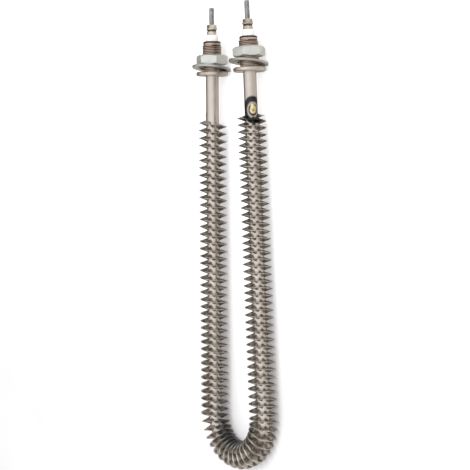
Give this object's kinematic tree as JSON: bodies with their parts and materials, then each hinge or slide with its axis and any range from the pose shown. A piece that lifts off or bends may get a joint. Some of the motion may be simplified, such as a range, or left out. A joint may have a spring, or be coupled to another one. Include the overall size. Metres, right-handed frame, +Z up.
{
  "type": "tubular heating element",
  "caption": "U-shaped tubular heating element with a crimped fin strip wound on its sheath, threaded mounting bushings and stud terminals.",
  "frame": {"origin": "on the surface that the element lies on, under the middle of its bounding box", "axes": "+X across the legs towards the right leg, +Y along the legs towards the terminals, +Z up from the surface"},
  "size_m": [0.0978, 0.4278, 0.0359],
  "materials": {
    "sheath_steel": "drawn stainless steel tube, satin, warm with heat tint",
    "fin_steel": "crimped steel strip, dull, with bright creases",
    "bushing_steel": "turned steel, browned by brazing heat",
    "zinc_plate": "zinc-plated steel, satin",
    "washer_steel": "punched zinc-plated steel, dull",
    "nickel_plate": "nickel-plated steel, tarnished",
    "stud_steel": "bright steel stud",
    "steatite": "unglazed white steatite",
    "magnesia": "pressed magnesium oxide powder",
    "silicone": "cured silicone sealing compound",
    "heating_wire": "oxidised nickel-chromium wire",
    "braze": "brazing alloy bead"
  },
  "bodies": {
    "root": {"sheath_tube": "sheath_steel", "fin_strip": "fin_steel", "heating_coil": "heating_wire", "magnesia_filling": "magnesia", "terminal_stud_left": "stud_steel", "threaded_bushing_left": "bushing_steel", "lock_nut_left": "zinc_plate", "flat_washer_left": "washer_steel", "ceramic_insulator_left": "steatite", "end_seal_left": "silicone", "lower_terminal_nut_left": "nickel_plate", "upper_terminal_nut_left": "nickel_plate", "lock_washer_left": "nickel_plate", "terminal_washer_left": "nickel_plate", "strip_weld_left": "braze", "terminal_stud_right": "stud_steel", "threaded_bushing_right": "bushing_steel", "lock_nut_right": "zinc_plate", "flat_washer_right": "washer_steel", "ceramic_insulator_right": "steatite", "end_seal_right": "silicone", "lower_terminal_nut_right": "nickel_plate", "upper_terminal_nut_right": "nickel_plate", "lock_washer_right": "nickel_plate", "terminal_washer_right": "nickel_plate", "strip_weld_right": "braze"}
  },
  "joints": []
}
